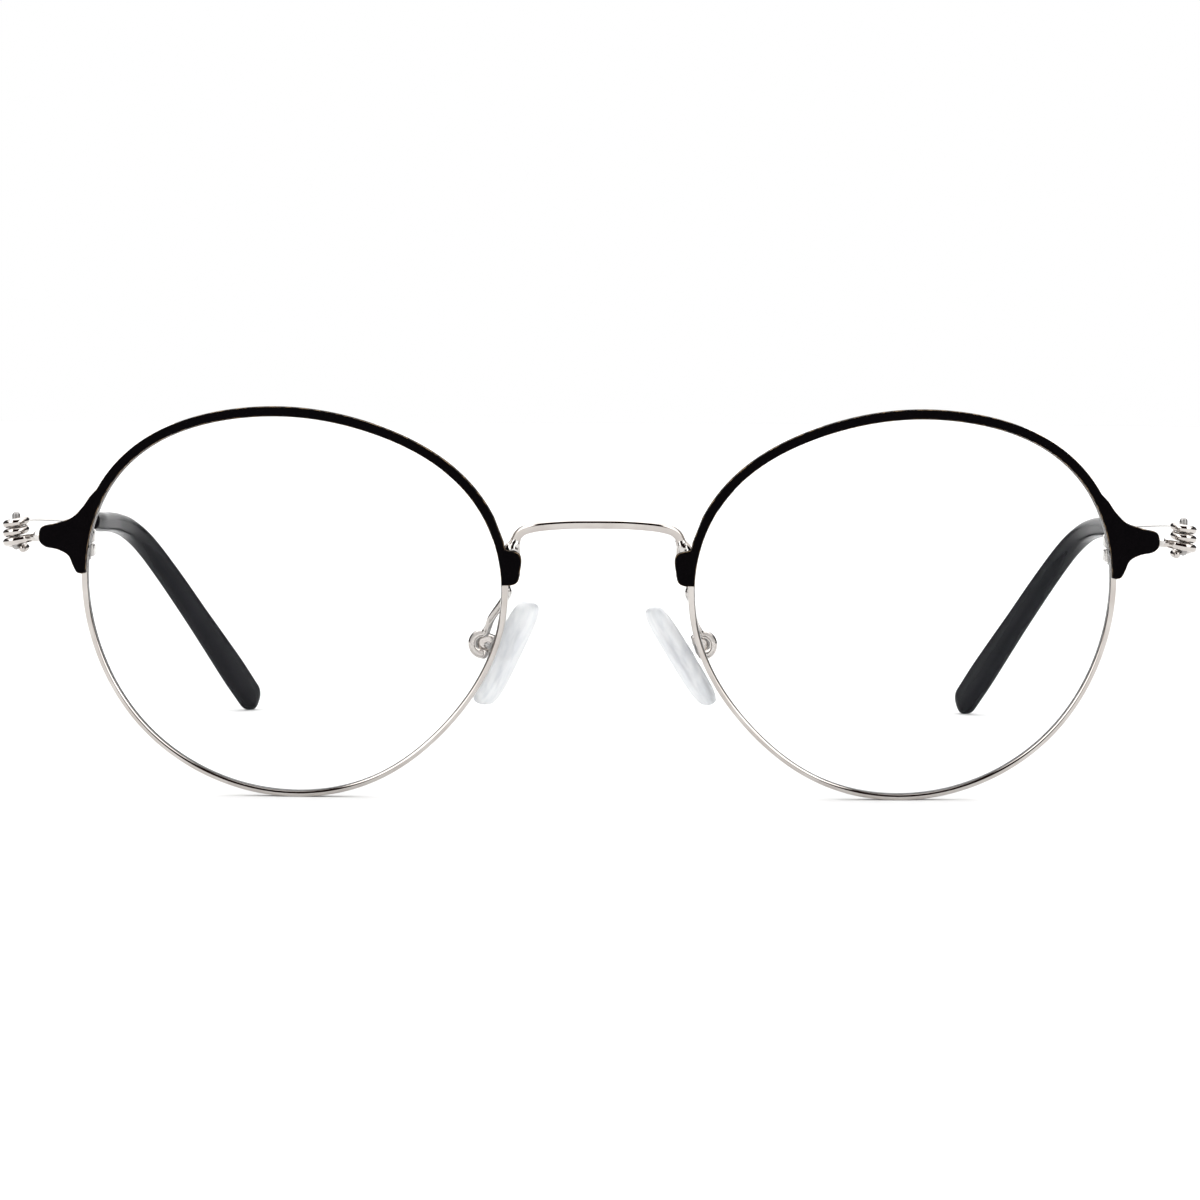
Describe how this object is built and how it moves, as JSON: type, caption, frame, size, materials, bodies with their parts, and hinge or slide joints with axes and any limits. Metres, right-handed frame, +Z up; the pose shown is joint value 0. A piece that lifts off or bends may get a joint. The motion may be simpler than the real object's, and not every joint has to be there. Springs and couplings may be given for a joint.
{
  "type": "round wire eyeglasses",
  "caption": "Round metal wire eyeglasses with black brow plates, coil hinges, adjustable silicone nose pads and curved acetate temple tips, shown open.",
  "frame": {"origin": "the middle of the base of the whole object's box, on the surface that the open glasses stand on", "axes": "+X to the wearer's left, -Y the way the front faces, +Z up"},
  "size_m": [0.1402, 0.1282, 0.0457],
  "materials": {
    "polished_silver": "polished silver-coloured metal",
    "black_paint": "satin black paint with a thin worn edge",
    "black_acetate": "polished black acetate",
    "clear_lens": "clear, polished, with a faint coating",
    "clear_silicone": "frosted translucent silicone",
    "pad_core_plastic": "clear hard plastic",
    "screw_steel": "plain steel"
  },
  "bodies": {
    "front": {"bridge": "polished_silver", "rim_left": "polished_silver", "rim_right": "polished_silver", "lens_left": "clear_lens", "lens_right": "clear_lens", "brow_plate_left": "black_paint", "brow_plate_right": "black_paint", "lock_block_upper_left": "polished_silver", "lock_block_upper_right": "polished_silver", "lock_block_lower_left": "polished_silver", "lock_block_lower_right": "polished_silver", "lock_screw_left": "screw_steel", "lock_screw_right": "screw_steel", "endpiece_wire_left": "polished_silver", "endpiece_wire_right": "polished_silver", "hinge_pin_left": "polished_silver", "hinge_pin_right": "polished_silver", "pad_arm_left": "polished_silver", "pad_arm_right": "polished_silver", "pad_box_left": "polished_silver", "pad_box_right": "polished_silver", "pad_screw_left": "screw_steel", "pad_screw_right": "screw_steel"},
    "temple_left": {"temple_wire_left": "polished_silver", "temple_tip_left": "black_acetate"},
    "temple_right": {"temple_wire_right": "polished_silver", "temple_tip_right": "black_acetate"},
    "pad_left": {"pad_core_left": "pad_core_plastic", "nose_pad_left": "clear_silicone"},
    "pad_right": {"pad_core_right": "pad_core_plastic", "nose_pad_right": "clear_silicone"}
  },
  "joints": [
    {"name": "fold_left", "type": "hinge", "parent": "front", "child": "temple_left", "pos_m": [0.0685, -0.05576, 0.0313], "axis": [0, 0, 1], "range_deg": [0, 82]},
    {"name": "fold_right", "type": "hinge", "parent": "front", "child": "temple_right", "pos_m": [-0.0685, -0.05576, 0.0313], "axis": [0, 0, -1], "range_deg": [0, 72]},
    {"name": "rock_pad_left", "type": "hinge", "parent": "front", "child": "pad_left", "pos_m": [0.01173, -0.05456, 0.01781], "axis": [-0.0522, 0.9962, 0.0698], "range_deg": [-7, 14]},
    {"name": "rock_pad_right", "type": "hinge", "parent": "front", "child": "pad_right", "pos_m": [-0.01303, -0.05449, 0.01781], "axis": [0.0522, 0.9962, 0.0698], "range_deg": [-8, 13]}
  ]
}
